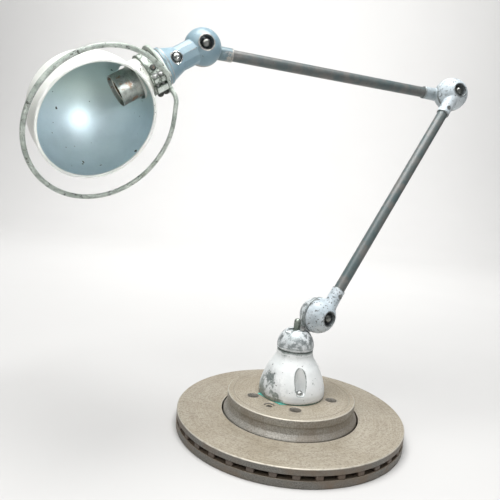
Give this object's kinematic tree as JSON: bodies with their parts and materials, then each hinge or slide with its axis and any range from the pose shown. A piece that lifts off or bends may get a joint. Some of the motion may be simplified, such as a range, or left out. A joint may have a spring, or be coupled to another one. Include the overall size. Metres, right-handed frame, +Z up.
{
  "type": "architect desk lamp",
  "caption": "Desk lamp with a brake disc as its weighted foot, a swivelling cone, tube arms on ball knuckles, and a deep bowl shade with a guard ring.",
  "frame": {"origin": "centre of the brake disc's underside, on the table plane", "axes": "+Z up along the base swivel's axis; +X to the right of the lamp as seen from its front, so the shade hangs at -X and the elbow stands at +X; +Y towards the back, so the bowl opens towards -Y"},
  "size_m": [0.5964, 0.3442, 0.5314],
  "materials": {
    "disc_iron": "turned grey iron with a brown bloom of rust",
    "gasket_sheet": "teal jointing sheet, hand cut",
    "foot_paint": "white and silver paint worn to grey metal",
    "cap_paint": "grey-white paint, mottled and chipped",
    "knuckle_paint": "worn white to blue-grey paint on aluminium",
    "head_paint": "blue-grey paint, edges worn to aluminium",
    "tube_paint": "dark grey-green paint with rust specks",
    "plated_steel": "dulled zinc plate",
    "chrome": "polished, lightly pitted",
    "brass": "turned",
    "black_plastic": "moulded",
    "pale_plastic": "moulded, yellowed",
    "phenolic": "pressed brown laminate",
    "fibre": "red vulcanised fibre",
    "lead_insulation": "twin insulated lead",
    "galvanised_steel": "old galvanising with rust",
    "ceramic": "glazed porcelain",
    "shade_enamel": "off-white paint outside, bare blue-grey metal inside",
    "cast_aluminium": "cast, dulled",
    "guard_paint": "white paint, chipped to dark metal"
  },
  "bodies": {
    "base": {"brake_disc": "disc_iron", "foot_gasket": "gasket_sheet", "cone_foot": "foot_paint", "foot_bolts": "plated_steel", "foot_nuts": "plated_steel", "inlet_bush": "black_plastic", "terminal_block": "pale_plastic", "block_bracket": "plated_steel", "thrust_washer": "brass"},
    "cap": {"swivel_cap": "cap_paint", "swivel_stud": "plated_steel", "swivel_dome_nut": "cap_paint", "swivel_lock_nut": "plated_steel", "cap_lock_screw": "plated_steel", "lower_ring_plate": "phenolic", "lower_contact_rings": "brass", "lower_friction_washer": "fibre"},
    "lower_arm": {"lower_arm_socket": "knuckle_paint", "lower_arm_tube": "tube_paint", "lower_arm_lead": "lead_insulation", "elbow_lower_socket": "knuckle_paint", "lower_set_screws": "plated_steel", "lower_brush_plate": "phenolic", "lower_contact_brushes": "brass", "lower_knuckle_bolt": "knuckle_paint", "lower_knuckle_nut": "plated_steel", "elbow_brush_plate": "phenolic", "elbow_contact_brushes": "brass", "elbow_knuckle_bolt": "knuckle_paint", "elbow_knuckle_nut": "plated_steel"},
    "upper_arm": {"elbow_upper_socket": "knuckle_paint", "upper_arm_tube": "tube_paint", "upper_arm_lead": "lead_insulation", "head_upper_socket": "head_paint", "upper_set_screws": "plated_steel", "elbow_ring_plate": "phenolic", "elbow_contact_rings": "brass", "elbow_friction_washer": "fibre", "head_ring_plate": "phenolic", "head_contact_rings": "brass", "head_friction_washer": "fibre"},
    "head": {"head_casting": "head_paint", "switch_body": "black_plastic", "switch_spring": "plated_steel", "switch_bezel": "chrome", "head_brush_plate": "phenolic", "head_contact_brushes": "brass", "head_knuckle_bolt": "head_paint", "head_knuckle_nut": "plated_steel", "lampholder_shell": "galvanised_steel", "lampholder_core": "ceramic", "thread_liner": "brass", "centre_contact": "brass"},
    "button": {"switch_button": "chrome"},
    "shade": {"shade": "shade_enamel", "clamp_collar": "cast_aluminium", "collar_screw": "plated_steel", "clamp_bolts": "plated_steel", "clamp_nuts": "plated_steel", "guard_ring": "guard_paint"}
  },
  "joints": [
    {"name": "base_swivel", "type": "hinge", "parent": "base", "child": "cap", "pos_m": [0, 0, 0], "axis": [0, 0, 1], "range_deg": [-170, 170]},
    {"name": "lower_knuckle", "type": "hinge", "parent": "cap", "child": "lower_arm", "pos_m": [0.02771, 0.00939, 0.161], "axis": [0.6252, -0.7804, 0], "range_deg": [-45, 115]},
    {"name": "elbow_knuckle", "type": "hinge", "parent": "lower_arm", "child": "upper_arm", "pos_m": [0.22102, 0.16324, 0.49073], "axis": [-0.3298, 0.9153, -0.2313], "range_deg": [-25, 100]},
    {"name": "head_knuckle", "type": "hinge", "parent": "upper_arm", "child": "head", "pos_m": [-0.15627, 0.03133, 0.50646], "axis": [0.3319, -0.9343, 0.1302], "range_deg": [-100, 70]},
    {"name": "shade_swivel", "type": "hinge", "parent": "head", "child": "shade", "pos_m": [-0.15296, 0.02199, 0.50776], "axis": [-0.7638, -0.3472, -0.5441], "range_deg": [-120, 120]},
    {"name": "switch_press", "type": "slide", "parent": "head", "child": "button", "axis": [-0.3319, 0.9343, -0.1302], "range_m": [0, 0.002], "stiffness_N_per_m": 900, "springref_m": -0.001}
  ]
}
